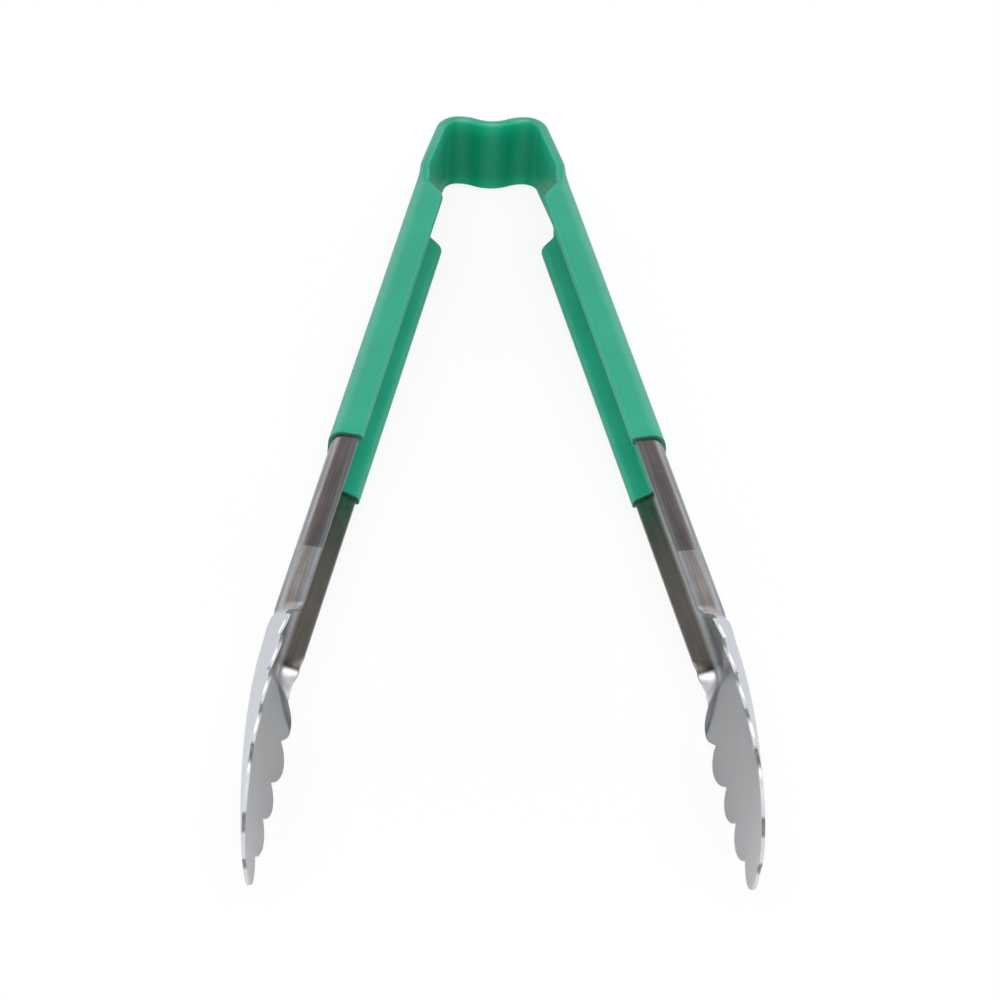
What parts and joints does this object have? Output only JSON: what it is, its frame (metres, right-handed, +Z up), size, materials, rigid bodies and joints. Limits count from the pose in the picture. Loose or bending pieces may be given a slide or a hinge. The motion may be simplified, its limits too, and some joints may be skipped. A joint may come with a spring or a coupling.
{
  "type": "spring tongs",
  "caption": "One-piece spring tongs: wavy spring head, channel arms with a dipped grip coating, and scalloped scoop blades that close on food.",
  "frame": {"origin": "centre of the lower side of the box round the open tongs as they lie on their side", "axes": "+Y along the tongs from the blades to the head, X across the opening, +Z up across the width of the strip"},
  "size_m": [0.1416, 0.3072, 0.0519],
  "materials": {
    "handle_steel": "brushed stainless steel with a darker tint",
    "blade_steel": "bright satin stainless steel",
    "coating": "satin dipped vinyl"
  },
  "bodies": {
    "head": {"head_spring": "handle_steel", "head_coating": "coating"},
    "left_arm": {"left_arm_channel": "handle_steel", "left_blade": "blade_steel", "left_handle_coating": "coating"},
    "right_arm": {"right_arm_channel": "handle_steel", "right_blade": "blade_steel", "right_handle_coating": "coating"}
  },
  "joints": [
    {"name": "left_flex", "type": "hinge", "parent": "head", "child": "left_arm", "pos_m": [-0.02245, 0.12358, 0.02594], "axis": [0, 0, 1], "range_deg": [0, 14.1], "stiffness_Nm_per_rad": 4.5},
    {"name": "right_flex", "type": "hinge", "parent": "head", "child": "right_arm", "pos_m": [0.02245, 0.12358, 0.02594], "axis": [0, 0, 1], "range_deg": [-14.1, 0], "stiffness_Nm_per_rad": 4.5}
  ],
  "couplings": [
    {"joint": "right_flex", "follows": "left_flex", "ratio": -1}
  ]
}
